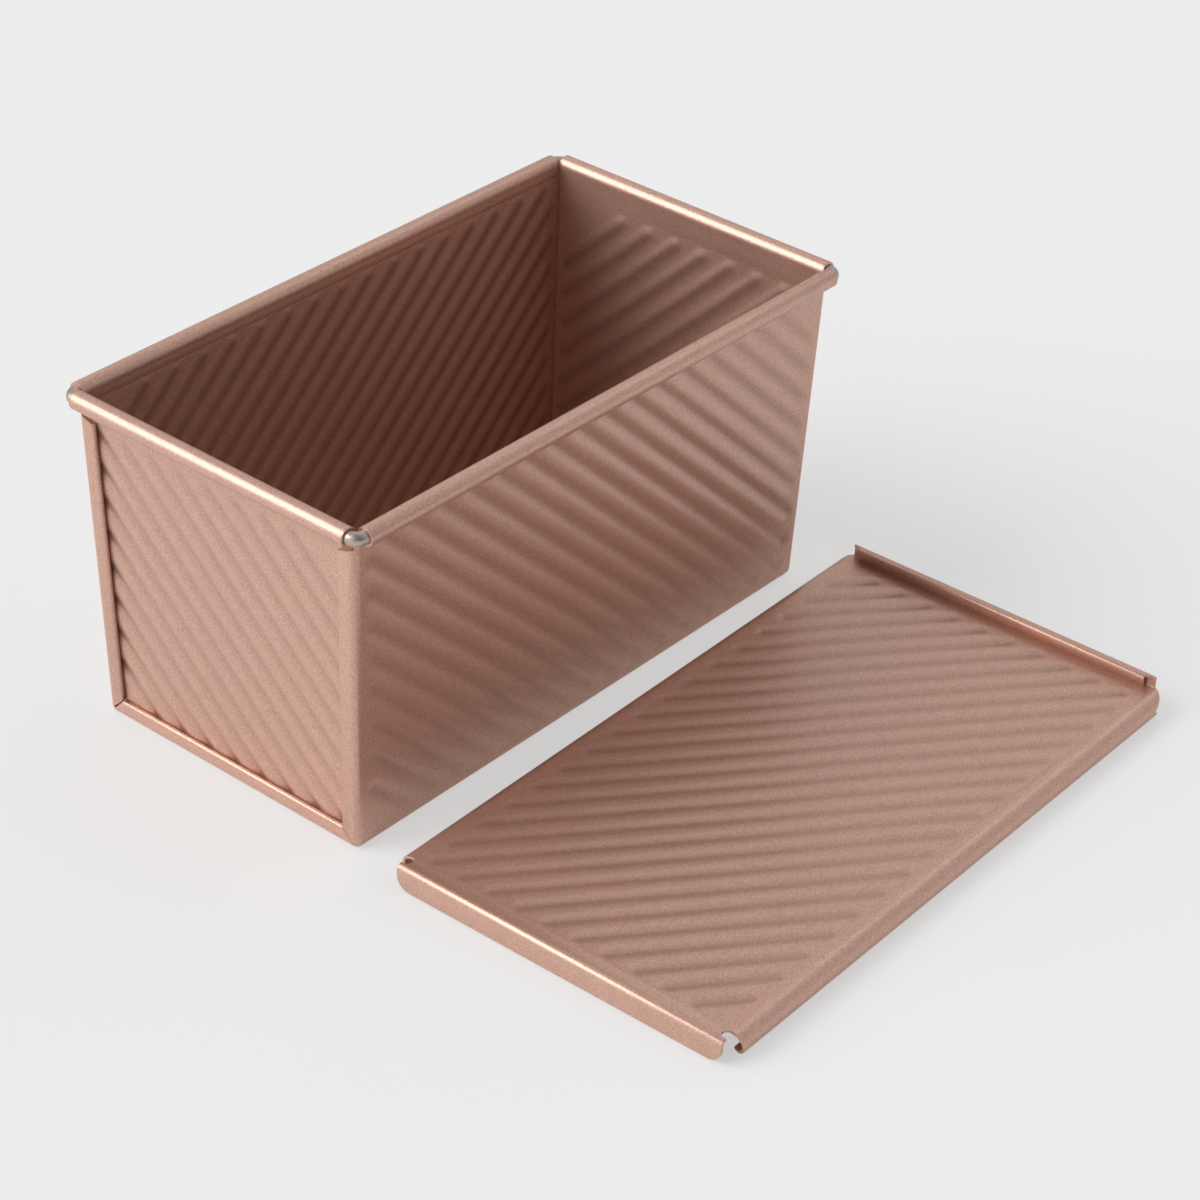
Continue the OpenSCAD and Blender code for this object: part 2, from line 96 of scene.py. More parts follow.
def pressed_rib_tree():
    """Lines of vertices that follow the ribs, trimmed to a window and pressed in near each rib's middle."""
    tree = bpy.data.node_groups.new("Pressed ribs", "GeometryNodeTree")
    names = {}
    for name, kind in (("Pitch", "Float"), ("Slope", "Float"), ("Phase", "Float"), ("Half Width", "Float"),
                       ("Depth", "Float"), ("Half Length", "Float"), ("Widening", "Float"),
                       ("Bottom", "Float"), ("Top", "Float"), ("End Gap", "Float"), ("End Fade", "Float"),
                       ("Top Fade", "Float"), ("Ribs", "Int"), ("Lines", "Int"), ("End Rows", "Int"),
                       ("Row Step", "Float"), ("Material", "Material")):
        socket = tree.interface.new_socket(name, in_out="INPUT", socket_type="NodeSocket" + kind)
        names[name] = socket.identifier
    tree.interface.new_socket("Geometry", in_out="OUTPUT", socket_type="NodeSocketGeometry")
    give = tree.nodes.new("NodeGroupInput").outputs
    do = node_maths(tree)
    pitch, slope, half, widen = give["Pitch"], give["Slope"], give["Half Length"], give["Widening"]
    bottom, top, gap, width = give["Bottom"], give["Top"], give["End Gap"], give["Half Width"]
    cos, sin = do("COSINE", slope), do("SINE", slope)

    lines = do("ADD", do("MULTIPLY", give["Ribs"], give["Lines"]), 1)
    rows = do("ADD", do("MULTIPLY", give["End Rows"], 2), 2)
    grid = tree.nodes.new("GeometryNodeMeshGrid")
    tree.links.new(lines, grid.inputs["Vertices X"])
    tree.links.new(rows, grid.inputs["Vertices Y"])
    index = tree.nodes.new("GeometryNodeInputIndex").outputs[0]
    line = do("FLOOR", do("DIVIDE", do("ADD", index, 0.5), rows))
    row = do("SUBTRACT", index, do("MULTIPLY", line, rows))

    # The lines lie closer together in a groove than on the ridge between two.
    place = do("DIVIDE", line, give["Lines"])
    rib = do("FLOOR", place)
    part = do("SUBTRACT", do("SUBTRACT", place, rib), 0.5)
    even_share, cubed_share = 0.85, 0.6
    part = do("ADD", do("MULTIPLY", part, even_share), do("MULTIPLY", do("POWER", part, 3.0), cubed_share))
    from_middle = do("SUBTRACT", do("ADD", rib, 0.5), do("MULTIPLY", give["Ribs"], 0.5))
    centre = do("ADD", do("MULTIPLY", from_middle, pitch), give["Phase"])
    across = do("ADD", centre, do("MULTIPLY", part, pitch))

    # Lines past the window's corners are held a little inside them.
    margin = 0.3
    top_half = do("ADD", half, do("MULTIPLY", widen, top))
    bottom_half = do("ADD", half, do("MULTIPLY", widen, bottom))
    most = do("ADD", do("MULTIPLY", top_half, sin), do("MULTIPLY", top, cos))
    least = do("SUBTRACT", do("MULTIPLY", bottom, cos), do("MULTIPLY", bottom_half, sin))
    across = do("MAXIMUM", do("MINIMUM", across, do("SUBTRACT", most, margin)), do("ADD", least, margin))

    def ends(s):
        """Where the line at distance s from the middle starts, by the top and by the side, and stops."""
        low_a = do("DIVIDE", do("SUBTRACT", do("MULTIPLY", s, cos), top), sin)
        high_a = do("DIVIDE", do("SUBTRACT", do("MULTIPLY", s, cos), bottom), sin)
        right = do("ADD", half, do("MULTIPLY", s, do("SUBTRACT", do("MULTIPLY", widen, cos), sin)))
        high_b = do("DIVIDE", right, do("ADD", cos, do("MULTIPLY", widen, sin)))
        left = do("ADD", half, do("MULTIPLY", s, do("ADD", do("MULTIPLY", widen, cos), sin)))
        low_b = do("MULTIPLY", do("DIVIDE", left, do("SUBTRACT", cos, do("MULTIPLY", widen, sin))), -1.0)
        return low_a, low_b, do("MINIMUM", high_a, high_b)

    low_top, low_side, high = ends(across)
    low = do("MAXIMUM", low_top, low_side)
    step = do("MINIMUM", give["Row Step"], do("DIVIDE", do("SUBTRACT", high, low), do("ADD", rows, 1.0)))
    from_low = do("ADD", low, do("MULTIPLY", row, step))
    from_high = do("SUBTRACT", high, do("MULTIPLY", do("SUBTRACT", do("SUBTRACT", rows, 1.0), row), step))
    upper = do("GREATER_THAN", row, do("ADD", give["End Rows"], 0.5))
    along = do("ADD", from_low, do("MULTIPLY", upper, do("SUBTRACT", from_high, from_low)))

    # A groove has straight flanks and fades out at its ends, with a fade of its own at the upper edge.
    fade, top_fade = give["End Fade"], give["Top Fade"]
    rib_top, rib_side, rib_high = ends(centre)
    rib_top = do("ADD", do("ADD", rib_top, gap), do("MULTIPLY", width, top_fade))
    rib_side = do("ADD", do("ADD", rib_side, gap), do("MULTIPLY", width, fade))
    rib_high = do("SUBTRACT", do("SUBTRACT", rib_high, gap), do("MULTIPLY", width, fade))
    rib_low = do("MAXIMUM", rib_top, rib_side)
    at_top = do("GREATER_THAN", rib_top, rib_side)
    low_fade = do("ADD", fade, do("MULTIPLY", at_top, do("SUBTRACT", top_fade, fade)))
    off_line = do("SUBTRACT", across, centre)
    off_end = do("ADD", do("DIVIDE", do("MAXIMUM", do("SUBTRACT", rib_low, along), 0.0), low_fade),
                 do("DIVIDE", do("MAXIMUM", do("SUBTRACT", along, rib_high), 0.0), fade))
    away = do("SQRT", do("ADD", do("MULTIPLY", off_line, off_line), do("MULTIPLY", off_end, off_end)))
    share = do("MINIMUM", do("DIVIDE", away, width), 1.0)
    soft = 0.28
    root = do("MINIMUM", share, soft)
    flank = do("MINIMUM", do("MAXIMUM", do("SUBTRACT", share, soft), 0.0), 1.0 - 2 * soft)
    brow = do("MAXIMUM", do("SUBTRACT", share, 1.0 - soft), 0.0)
    fall = do("ADD", do("DIVIDE", do("MULTIPLY", root, root), 2 * soft), flank)
    fall = do("ADD", fall, do("SUBTRACT", brow, do("DIVIDE", do("MULTIPLY", brow, brow), 2 * soft)))
    dip = do("SUBTRACT", 1.0, do("DIVIDE", fall, 1.0 - soft))
    shortest_rib = 4.0
    there = do("GREATER_THAN", do("SUBTRACT", rib_high, rib_low), shortest_rib)
    height = do("MULTIPLY", do("MULTIPLY", do("MULTIPLY", dip, there), give["Depth"]), -1.0)

    spot = tree.nodes.new("ShaderNodeCombineXYZ")
    tree.links.new(do("ADD", do("MULTIPLY", across, sin), do("MULTIPLY", along, cos)), spot.inputs[0])
    tree.links.new(do("SUBTRACT", do("MULTIPLY", across, cos), do("MULTIPLY", along, sin)), spot.inputs[1])
    tree.links.new(height, spot.inputs[2])
    move = tree.nodes.new("GeometryNodeSetPosition")
    merge = tree.nodes.new("GeometryNodeMergeByDistance")
    merge.inputs["Distance"].default_value = 0.002
    realize = tree.nodes.new("GeometryNodeRealizeInstances")
    paint = tree.nodes.new("GeometryNodeSetMaterial")
    out = tree.nodes.new("NodeGroupOutput")
    tree.links.new(grid.outputs["Mesh"], move.inputs["Geometry"])
    tree.links.new(spot.outputs[0], move.inputs["Position"])
    tree.links.new(move.outputs[0], merge.inputs["Geometry"])
    tree.links.new(merge.outputs[0], realize.inputs[0])
    tree.links.new(realize.outputs[0], paint.inputs["Geometry"])
    tree.links.new(give["Material"], paint.inputs["Material"])
    tree.links.new(paint.outputs[0], out.inputs[0])
    return tree, names


def coating_tree():
    """Champagne coat: tiny flakes and slow clouds in its colour and gloss, painted shade in the grooves and
    fine peel.
    """
    tree = bpy.data.node_groups.new("Champagne coat", "ShaderNodeTree")
    for name, kind in (("Colour", "Color"), ("Flake Size", "Float"), ("Flake Contrast", "Float"),
                       ("Roughness", "Float"), ("Peel", "Float"), ("Painted Groove Shade", "Float")):
        tree.interface.new_socket(name, in_out="INPUT", socket_type="NodeSocket" + kind)
    for name, kind in (("Colour", "Color"), ("Roughness", "Float"), ("Height", "Float")):
        tree.interface.new_socket(name, in_out="OUTPUT", socket_type="NodeSocket" + kind)
    give = tree.nodes.new("NodeGroupInput").outputs
    out = tree.nodes.new("NodeGroupOutput").inputs
    do = node_maths(tree)
    where = tree.nodes.new("ShaderNodeTexCoord").outputs["Object"]

    flake = tree.nodes.new("ShaderNodeTexVoronoi")
    flake.feature = "F1"
    tree.links.new(where, flake.inputs["Vector"])
    tree.links.new(do("DIVIDE", 1.0, give["Flake Size"]), flake.inputs["Scale"])
    tone = tree.nodes.new("ShaderNodeSeparateColor")
    tree.links.new(flake.outputs["Color"], tone.inputs[0])
    cloud = tree.nodes.new("ShaderNodeTexNoise")
    cloud.inputs["Scale"].default_value = 45.0
    cloud.inputs["Detail"].default_value = 3.0
    tree.links.new(where, cloud.inputs["Vector"])
    peel = tree.nodes.new("ShaderNodeTexNoise")
    peel.inputs["Scale"].default_value = 900.0
    peel.inputs["Detail"].default_value = 2.0
    tree.links.new(where, peel.inputs["Vector"])

    spread = do("SUBTRACT", tone.outputs[0], 0.5)
    shade = do("ADD", 1.0, do("MULTIPLY", spread, give["Flake Contrast"]))
    cloud_least, cloud_span = 0.97, 0.06
    cloudy = do("ADD", cloud_least, do("MULTIPLY", cloud.outputs["Fac"], cloud_span))
    shade = do("MULTIPLY", shade, cloudy)
    # Painted shade: the colour darkens with the groove depth times the shade share, in place of the shade
    # that falls in the grooves.
    groove = tree.nodes.new("ShaderNodeAttribute")
    groove.attribute_name = "groove"
    painted_shade = do("MULTIPLY", groove.outputs["Fac"], give["Painted Groove Shade"])
    shade = do("MULTIPLY", shade, do("SUBTRACT", 1.0, painted_shade))
    scale = tree.nodes.new("ShaderNodeVectorMath")
    scale.operation = "SCALE"
    tree.links.new(give["Colour"], scale.inputs[0])
    tree.links.new(shade, scale.inputs["Scale"])
    tree.links.new(scale.outputs[0], out["Colour"])
    flake_gloss, cloud_gloss = 0.10, 0.08
    gloss = do("MULTIPLY", do("SUBTRACT", tone.outputs[1], 0.5), flake_gloss)
    gloss = do("ADD", give["Roughness"], gloss)
    gloss = do("ADD", gloss, do("MULTIPLY", do("SUBTRACT", cloud.outputs["Fac"], 0.5), cloud_gloss))
    tree.links.new(gloss, out["Roughness"])
    tree.links.new(do("MULTIPLY", peel.outputs["Fac"], give["Peel"]), out["Height"])
    return tree


champagne_coat = coating_tree()


def coated_steel(name, painted_groove_shade):
    """Steel sheet under the champagne coat, whose colour is darkened in the grooves by the given share as
    painted shade.
    """
    material = bpy.data.materials.new(name)
    material.use_nodes = True
    nodes, links = material.node_tree.nodes, material.node_tree.links
    shader = nodes["Principled BSDF"]
    coat = nodes.new("ShaderNodeGroup")
    coat.node_tree = champagne_coat
    coat.inputs["Colour"].default_value = (0.63, 0.393, 0.309, 1.0)
    coat.inputs["Flake Size"].default_value = 0.00022
    coat.inputs["Flake Contrast"].default_value = 0.45
    coat.inputs["Roughness"].default_value = 0.42
    coat.inputs["Peel"].default_value = 1.0
    # Share of painted shade in the grooves.
    coat.inputs["Painted Groove Shade"].default_value = painted_groove_shade
    bump = nodes.new("ShaderNodeBump")
    bump.inputs["Strength"].default_value = 0.12
    bump.inputs["Distance"].default_value = 0.00004
    links.new(coat.outputs["Height"], bump.inputs["Height"])
    links.new(coat.outputs["Colour"], shader.inputs["Base Color"])
    links.new(coat.outputs["Roughness"], shader.inputs["Roughness"])
    links.new(bump.outputs[0], shader.inputs["Normal"])
    shader.inputs["Metallic"].default_value = 0.72
    return material


# Both coats carry painted shade in the grooves, much stronger on the inside faces than outside.
trough_coat = coated_steel("champagne coat outside the trough", 0.10)
trough_inside = coated_steel("champagne coat inside the trough", 0.34)
rib_tree, rib_input = pressed_rib_tree()


def rib_field(sizes, material):
    """The ribbed part of one panel as a plain mesh, drawn in the panel's own plane in millimetres."""
    holder = bpy.data.objects.new("rib field", bpy.data.meshes.new("rib field"))
    bpy.context.scene.collection.objects.link(holder)
    press = holder.modifiers.new("ribs", "NODES")
    press.node_group = rib_tree
    for name, value in sizes.items():
        press[rib_input[name]] = value
    press[rib_input["Material"]] = material
    holder.update_tag()
    bpy.context.view_layer.update()
    mesh = bpy.data.meshes.new_from_object(holder.evaluated_get(bpy.context.evaluated_depsgraph_get()))
    holder.modifiers.remove(press)
    bpy.data.objects.remove(holder)
    return mesh


def new_shell():
    """An empty sheet, whose points will know how deep they lie in a groove."""
    shell = bmesh.new()
    shell.verts.layers.float.new("groove")
    return shell


def skin(shell, rows):
    """Faces between rows of points."""
    lines = [[shell.verts.new(point) for point in row] for row in rows]
    for first, second in zip(lines, lines[1:]):
        for n in range(len(first) - 1):
            shell.faces.new((first[n], first[n + 1], second[n + 1], second[n]))


def ribbed_panel(shell, field, place, corners, support=0.35):
    """Sets a rib field into a flat panel, whose outline is corners, and notes how deep each point lies.

    place turns panel coordinates into a point. A strip as wide as support runs along the outline.
    """
    spots = [shell.verts.new(place(*v.co)) for v in field.vertices]
    # This depth share is the mask for the coat's painted shade in the grooves.
    groove = shell.verts.layers.float["groove"]
    deepest = max(-v.co.z for v in field.vertices)
    for spot, v in zip(spots, field.vertices):
        spot[groove] = -v.co.z / deepest
    faces = [shell.faces.new([spots[n] for n in p.vertices]) for p in field.polygons]
    border = {}
    for face in faces:
        for edge in face.edges:
            if len(edge.link_faces) == 1:
                a, b = edge.verts
                border.setdefault(a, []).append(b)
                border.setdefault(b, []).append(a)
    start = next(iter(border))
    loop, last, here = [start], None, start
    while True:
        after = [v for v in border[here] if v is not last][0]
        if after is start:
            break
        loop.append(after)
        last, here = here, after
    inner = []
    for n, corner in enumerate(corners):
        before = (Vector(corners[n - 1]) - Vector(corner)).normalized()
        behind = (Vector(corners[(n + 1) % len(corners)]) - Vector(corner)).normalized()
        inner.append(Vector(corner) + support * (before + behind))
    rim = [shell.verts.new(place(c.x, c.y, 0)) for c in inner]
    nearest = [min(range(len(loop)), key=lambda n: (loop[n].co - v.co).length) for v in rim]
    turn = (nearest[1] - nearest[0]) % len(loop) < (nearest[0] - nearest[1]) % len(loop)
    for n in range(len(rim)):
        m = (n + 1) % len(rim)
        chain = []
        k = nearest[m]
        while k != nearest[n]:
            chain.append(loop[k])
            k = (k - 1) % len(loop) if turn else (k + 1) % len(loop)
        chain.append(loop[nearest[n]])
        shell.faces.new([rim[n], rim[m]] + chain)
    outline = list(corners) + [corners[0]]
    inset = inner + [inner[0]]
    skin(shell, [[place(c[0], c[1], 0) for c in outline], [place(c.x, c.y, 0) for c in inset]])


def turned(angle):
    """Function that turns a point round the pan's upright axis."""
    spin = Matrix.Rotation(angle, 3, "Z")
    return lambda point: spin @ Vector(point)


def steel_sheet(shell, name, thickness, down, coats, move=None):
    """Gives a folded shell its thickness, rounds its cut edges and coats both sides.

    down is a point on the shell and the direction that its faces look there. The sheet grows behind them.
    """
    bmesh.ops.remove_doubles(shell, verts=shell.verts, dist=0.004)
    bmesh.ops.dissolve_degenerate(shell, edges=shell.edges, dist=0.001)
    bmesh.ops.recalc_face_normals(shell, faces=shell.faces)
    shell.faces.ensure_lookup_table()
    cut_edge = 0.12
    start, normal = down
    probe = min(shell.faces, key=lambda face: (face.calc_center_median() - Vector(start)).length)
    if probe.normal.dot(Vector(normal)) < 0:
        bmesh.ops.reverse_faces(shell, faces=shell.faces)
    bmesh.ops.scale(shell, vec=(MM, MM, MM), verts=shell.verts)
    mesh = bpy.data.meshes.new(name)
    shell.to_mesh(mesh)
    shell.free()
    for coat in coats:
        mesh.materials.append(coat)
    piece = bpy.data.objects.new(name, mesh)
    bpy.context.scene.collection.objects.link(piece)
    thick = piece.modifiers.new("thickness", "SOLIDIFY")
    thick.thickness = thickness * MM
    thick.offset = -1
    thick.use_even_offset = True
    thick.use_quality_normals = True
    thick.material_offset = 1
    rounding = piece.modifiers.new("cut edges", "BEVEL")
    rounding.width = cut_edge * MM
    rounding.segments = 2
    rounding.limit_method = "ANGLE"
    rounding.angle_limit = math.radians(60)
    rounding.use_clamp_overlap = True
    done = bpy.data.meshes.new_from_object(piece.evaluated_get(bpy.context.evaluated_depsgraph_get()))
    piece.modifiers.clear()
    piece.data = done
    if move:
        done.transform(move)
    for face in done.polygons:
        face.use_smooth = True
    done.set_sharp_from_angle(angle=math.radians(38))
    return piece


def trough_shell():
    """The trough's outer face, folded and with its ribs."""
    shell = new_shell()
    out_wall = Vector((0, math.cos(side_lean), -math.sin(side_lean)))
    out_end = Vector((math.cos(end_lean), 0, -math.sin(end_lean)))
    out_floor = Vector((0, 0, -1))
    flat_off = hem_depth - fold_radius
    foot = Vector((end_x(fold_radius, flat_off), wall_y(fold_radius, sheet - fold_radius), fold_radius))
    edge_low = fold_radius - fold_radius * math.sin(side_lean)
    fold_steps, corner_steps, bead_steps = 8, 4, 26

    # Long walls and floor with their ribs.
    low_x, high_x = end_x(edge_low, flat_off), end_x(corner_top, flat_off)
    low_edge, high_edge = edge_low / math.cos(side_lean), corner_top / math.cos(side_lean)
    wall_corners = [(-low_x, low_edge), (low_x, low_edge), (high_x, high_edge), (-high_x, high_edge)]
    wall_slope = math.radians(42.5)
    for angle, phase in ((0.0, 1.25), (math.pi, 0.9)):
        turn = turned(angle)
        field = rib_field({
            "Pitch": rib_pitch, "Slope": wall_slope, "Phase": phase, "Half Width": 3.6, "Depth": 0.58,
            "Half Length": end_x(0, flat_off) - 1.4, "Widening": math.tan(end_lean),
            "Bottom": 4.0, "Top": 104.9, "End Gap": 0.1, "End Fade": 1.6, "Top Fade": 0.7,
            "Ribs": 34, "Lines": lines_per_rib, "End Rows": 14, "Row Step": 0.7}, trough_coat)

        def on_wall(u, v, h):
            y = -(wall_y(0, sheet) + v * math.sin(side_lean) + h * math.cos(side_lean))
            return turn((u, y, v * math.cos(side_lean) - h * math.sin(side_lean)))

        ribbed_panel(shell, field, on_wall, wall_corners)
        rows = []
        # Under the bead a small tab at each end covers the edge of the end panel.
        wide_tab, narrow_tab = 0.85, 0.5
        for z, tab in ((corner_top, 0.0), (corner_top + 0.06, wide_tab), (rim_z - 2.05, wide_tab),
                       (rim_z - 0.95, narrow_tab), (rim_z - 0.4, 0.0), (rim_z, 0.0)):
            x = end_x(z, flat_off) + tab
            rows.append([turn((-x, -wall_y(z, sheet), z)), turn((x, -wall_y(z, sheet), z))])
        for y, z in arc(inside_y + bead_radius, rim_z, bore_radius, 180, -bead_sweep, bead_steps, 1):
            rows.append([turn((-x, -y, z)), turn((x, -y, z))])
        skin(shell, rows)
    field = rib_field({
        "Pitch": rib_pitch, "Slope": wall_slope, "Phase": 0.0, "Half Width": 3.6, "Depth": 0.58,
        "Half Length": foot.x - 1.8, "Widening": 0.0, "Bottom": -foot.y + 1.8, "Top": foot.y - 1.8,
        "End Gap": 0.5, "End Fade": 1.3, "Top Fade": 1.3, "Ribs": 30, "Lines": lines_per_rib,
        "End Rows": 11, "Row Step": 0.7}, trough_coat)
    ribbed_panel(shell, field, lambda u, v, h: Vector((u, -v, -h)),
                 [(-foot.x, -foot.y), (foot.x, -foot.y), (foot.x, foot.y), (-foot.x, foot.y)])

    # Long folds between floor and walls.
    for side in (-1, 1):
        rows = []
        for n in range(fold_steps + 1):
            way = out_floor.slerp(out_wall, n / fold_steps)
            spot = foot + fold_radius * way
            rows.append([Vector((-foot.x, side * spot.y, spot.z)), Vector((foot.x, side * spot.y, spot.z))])
        skin(shell, rows)

    # End flanges: a fold, a flat strip, a hem round half a circle, and the strip behind it.
    climb = Vector((math.tan(end_lean), math.tan(side_lean), 1.0))
    in_side = -(out_wall - out_wall.dot(out_end) * out_end).normalized()
    in_floor = Vector((math.sin(end_lean), 0, math.cos(end_lean)))
    pole = foot + fold_radius * out_end
    mitre = (in_floor - in_side).normalized()
    hem_from, hem_to = flange_width - sheet, 2.0
    flat = [(width, 0.0) for width in (fold_radius + 0.35, hem_from)]
    hem = [(hem_from + sheet * math.sin(math.radians(a)), sheet - sheet * math.cos(math.radians(a)))
           for a in range(20, 181, 20)]
    section = flat + hem + [(hem_to, 2 * sheet)]
    bends = [90.0 * n / fold_steps for n in range(fold_steps + 1)]
    slit_from, loose_from, wide_slit, narrow_slit = 40, 30, 0.24, 0.10

    def top_of(inward):
        """Height of the flange's slanting top, at the distance inward from the wall."""
        return flange_top + flange_slant * (1 - inward / flange_width)

    for end in (-1, 1):
        slits = {}
        for side in (-1, 1):
            half_gap = narrow_slit if (end, side) == (-1, -1) else wide_slit
            opened = [0.0 if bend < slit_from else half_gap for bend in bends]

            def put(point, end=end, side=side):
                return Vector((end * point.x, side * point.y, point.z))

            # Rounded corner where floor, wall and end meet, split along the mitre.
            for from_floor in (True, False):
                rows = []
                for bend, gap in zip(bends, opened):
                    reach = fold_radius * math.cos(math.radians(bend))
                    lost = 45.0 if reach <= gap * 1.0001 else math.degrees(math.asin(gap / reach))
                    lost = min(lost, 45.0)
                    row = []
                    for n in range(corner_steps + 1):
                        turn_by = (45 - lost) * n / corner_steps
                        turn_by = turn_by if from_floor else 90 - turn_by
                        along = out_floor.slerp(out_wall, turn_by / 90)
                        way = along.slerp(out_end, bend / 90) if bend < 90 else out_end
                        row.append(put(foot + fold_radius * way))
                    rows.append(row)
                skin(shell, rows)
            # Side flange.
            lines = []
            for bend, gap in zip(bends, opened):
                low = foot + fold_radius * out_wall.slerp(out_end, bend / 90)
                short = gap - (low - pole).dot(mitre)
                low = low + climb * max(0.0, short / climb.dot(mitre)) if gap else low
                inward = fold_radius * (1 - math.cos(math.radians(bend)))
                high_z = corner_top if bend < loose_from else top_of(inward)
                lines.append([low, low + climb * (high_z - low.z)])
            for inward, depth in section:
                low = pole + in_side * (inward - fold_radius) - out_end * depth
                low = low + climb * ((half_gap - (low - pole).dot(mitre)) / climb.dot(mitre))
                lines.append([low, low + climb * (top_of(inward) - low.z)])
            skin(shell, [[put(point) for point in line] for line in lines])
            # Where the bottom flange stops at this corner.
            stops = []
            across = Vector((0, -1, 0))
            for bend, gap in zip(bends, opened):
                low = foot + fold_radius * out_floor.slerp(out_end, bend / 90)
                short = gap + (low - pole).dot(mitre)
                stops.append(put(low + across * max(0.0, -short / across.dot(mitre)) if gap else low))
            for inward, depth in section:
                low = pole + in_floor * (inward - fold_radius) - out_end * depth
                short = half_gap + (low - pole).dot(mitre)
                stops.append(put(low + across * (-short / across.dot(mitre))))
            slits[side] = stops
        skin(shell, [list(pair) for pair in zip(slits[-1], slits[1])])
    return shell


trough = steel_sheet(trough_shell(), "trough_sheet", drawn_sheet, ((0, 0, 0), (0, 0, -1)),
                     (trough_coat, trough_inside))
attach(trough, "pan")
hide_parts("trough")


# End panels

# Each end is a separate pressed panel of the same coated steel, with its own slanting ribs. Its bottom and
# side edges are turned outward and lie in the hem of the trough's flange, and its top rolls round the wire.

# Both coats carry painted shade in the grooves, stronger on the inside faces.
panel_coat = coated_steel("champagne coat outside the end panels", 0.15)
panel_inside = coated_steel("champagne coat inside the end panels", 0.26)


def end_panel_shell(phase):
    """The inner face of an end panel, drawn at the right end, with its lip, its bead and its ribs."""
    shell = new_shell()
    out_end = Vector((math.cos(end_lean), 0, -math.sin(end_lean)))
    start_x = end_x(0, 0)
    bend, lip, lip_gap = 1.2, 1.6, 0.3
    lip_top = flange_top - lip_gap

    def on_end(u, v, h):
        return Vector((start_x + v * math.sin(end_lean), u, v * math.cos(end_lean))) + h * out_end

    def half(v, inward):
        return wall_y(v * math.cos(end_lean), -play - inward)

    low = sheet + play + bend
    turn_radius = fold_radius - sheet - play - bend
    corners = [(-half(low + 0.6, bend) + 0.6, low), (half(low + 0.6, bend) - 0.6, low),
               (half(lip_top, bend), lip_top), (-half(lip_top, bend), lip_top)]
    field = rib_field({
        "Pitch": rib_pitch, "Slope": math.radians(45), "Phase": phase, "Half Width": 3.4, "Depth": 0.58,
        "Half Length": half(0, bend) - 1.7, "Widening": math.tan(side_lean),
        "Bottom": 3.6, "Top": 100.9, "End Gap": 0.0, "End Fade": 0.8, "Top Fade": 1.4,
        "Ribs": 24, "Lines": lines_per_rib, "End Rows": 14, "Row Step": 0.6}, panel_coat)
    # Outline of the flat part: down one side, round the small corner, along the bottom and up again.
    path = [((half(lip_top, bend), lip_top), (1.0, 0.0))]
    corner_steps = 6
    corner = arc(half(fold_radius, bend) - turn_radius, fold_radius, turn_radius, 0, -90, corner_steps)
    path += zip(corner, arc(0, 0, 1, 0, -90, corner_steps))
    path += [((-p[0], p[1]), (-d[0], d[1])) for p, d in reversed(path)]
    flat = [shell.verts.new(on_end(p[0], p[1], 0)) for p, d in path]
    inset, inner_low, inner_high = 0.8, 3.0, lip_top - 0.3
    low_half, high_half = half(6, bend) - inset, half(100, bend) - inset
    inner = [(-low_half, inner_low), (low_half, inner_low),
             (high_half, inner_high), (-high_half, inner_high)]
    ribbed_panel(shell, field, on_end, inner, 0.1)
    ring = [shell.verts.new(on_end(c[0], c[1], 0)) for c in inner]
    last = len(flat) - 1
    middle = len(flat) // 2
    shell.faces.new([ring[2], ring[1]] + flat[middle - 1::-1])
    shell.faces.new([ring[1], ring[0]] + flat[middle:middle - 2:-1][:2])
    shell.faces.new([ring[0], ring[3]] + [flat[n] for n in range(last, middle - 1, -1)])
    shell.faces.new([ring[3], ring[2], flat[0], flat[last]])
    rows = []
    for p, d in path:
        row = []
        for a in range(0, 91, 15):
            way, deep = bend * math.sin(math.radians(a)), bend * (1 - math.cos(math.radians(a)))
            row.append(on_end(p[0] + d[0] * way, p[1] + d[1] * way, deep))
        row.append(on_end(p[0] + d[0] * bend, p[1] + d[1] * bend, lip))
        rows.append(row)
    skin(shell, rows)
    # Upper edge and the rolled bead.
    rows = []
    for z in (lip_top * math.cos(end_lean), rim_z - 4.05, rim_z - 0.3, rim_z):
        x = end_x(z, 0)
        wide, narrow = wall_y(z, -play), half(z / math.cos(end_lean), bend)
        rows.append([Vector((x, y, z)) for y in (-wide, -narrow, narrow, wide)])
    for x, z in arc(inside_x + bead_radius, rim_z, bead_radius, 180, -bead_sweep, 30, 1):
        rows.append([Vector((x, y, z)) for y in (-wide, -narrow, narrow, wide)])
    skin(shell, rows)
    return shell


for side, name, phase in ((math.pi, "left_end_panel", 0.4), (0.0, "right_end_panel", -1.7)):
    middle = (end_x(50, 0), 0, 50)
    panel = steel_sheet(end_panel_shell(phase), name + "_sheet", drawn_sheet, (middle, (-1, 0, 0)),
                        (panel_inside, panel_coat), Matrix.Rotation(side, 4, "Z"))
    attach(panel, "pan")
    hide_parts(name)


# Rim wire

# One 4.2 mm steel wire, bent square round the rim. All four beads roll round it, and it shows bare at the
# corners, where the beads stop short.


